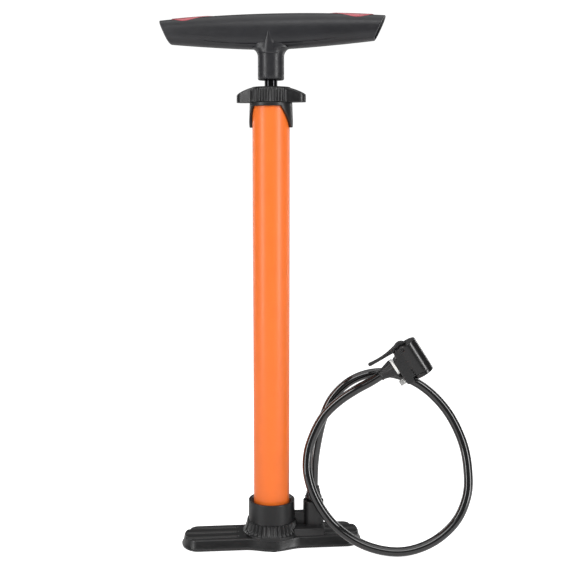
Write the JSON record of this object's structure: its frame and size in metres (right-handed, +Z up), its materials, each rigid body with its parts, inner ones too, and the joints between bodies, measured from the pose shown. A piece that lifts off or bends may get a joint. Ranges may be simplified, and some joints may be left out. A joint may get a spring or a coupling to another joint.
{
  "type": "floor bike pump",
  "caption": "Upright floor bike pump: T handle and rod in a painted barrel on a grooved foot, with a looped hose and a lever-lock head.",
  "frame": {"origin": "on the barrel's axis, at the height of the surface that the foot pads stand on", "axes": "+Z up along the barrel, +X along the foot bar towards the hose tower, -Y to the front"},
  "size_m": [0.3203, 0.1028, 0.554],
  "materials": {
    "charcoal_plastic": "moulded, satin, fine texture",
    "handle_plastic": "moulded, soft satin",
    "red_inlay": "soft satin",
    "orange_paint": "gloss",
    "rod_chrome": "polished",
    "hose_rubber": "glossy",
    "head_gloss": "semi-gloss",
    "boot_rubber": "satin",
    "white_plastic": "semi-gloss",
    "bush_plastic": "satin",
    "rubber_pad": "matt",
    "zinc_steel": "zinc plated",
    "brass": "machined"
  },
  "bodies": {
    "frame": {"base_foot": "charcoal_plastic", "collar_screw": "zinc_steel", "foot_pad_1": "rubber_pad", "foot_pad_2": "rubber_pad", "foot_pad_3": "rubber_pad", "foot_pad_4": "rubber_pad", "foot_pad_5": "rubber_pad", "foot_pad_6": "rubber_pad", "valve_seat": "brass", "valve_spring": "zinc_steel", "outlet_fitting": "brass", "hose_ferrule": "charcoal_plastic", "barrel": "orange_paint", "barrel_seal": "rubber_pad", "top_collar": "charcoal_plastic", "wing_cap": "charcoal_plastic", "rod_bush": "bush_plastic", "rod_wiper": "rubber_pad", "hose": "hose_rubber", "head_body": "head_gloss", "lever_pin": "zinc_steel", "head_barb": "brass", "head_boot": "boot_rubber", "head_collar": "white_plastic", "head_plug": "zinc_steel", "mouth_grommet": "rubber_pad", "mouth_cap": "head_gloss"},
    "piston": {"piston_nut": "zinc_steel", "piston_washer": "zinc_steel", "piston_head": "bush_plastic", "piston_ring": "rubber_pad"},
    "handle": {"rod": "rod_chrome", "handle_body": "handle_plastic", "handle_pad_left": "red_inlay", "handle_pad_right": "red_inlay", "handle_nut": "zinc_steel"},
    "valve": {"valve_disc": "rubber_pad"},
    "lever": {"head_lever": "head_gloss"},
    "plunger": {"head_plunger": "bush_plastic"}
  },
  "joints": [
    {"name": "pump_stroke", "type": "slide", "parent": "frame", "child": "piston", "axis": [0, 0, 1], "range_m": [0, 0.4]},
    {"name": "handle_spin", "type": "hinge", "parent": "piston", "child": "handle", "pos_m": [0, 0, 0.5], "axis": [0, 0, 1], "continuous": true},
    {"name": "valve_drop", "type": "slide", "parent": "frame", "child": "valve", "axis": [0, 0, -1], "range_m": [0, 0.002], "stiffness_N_per_m": 20, "springref_m": -0.002, "deforming": ["valve_spring"]},
    {"name": "lever_hinge", "type": "hinge", "parent": "frame", "child": "lever", "pos_m": [0.13432, -0.02078, 0.21266], "axis": [0.0941, 0.9956, 0], "range_deg": [0, 90]},
    {"name": "plunger_push", "type": "slide", "parent": "frame", "child": "plunger", "axis": [0.5386, -0.0509, -0.841], "range_m": [0, 0.003]}
  ],
  "couplings": [
    {"joint": "plunger_push", "follows": "lever_hinge", "m_per_rad": 0.0019}
  ]
}
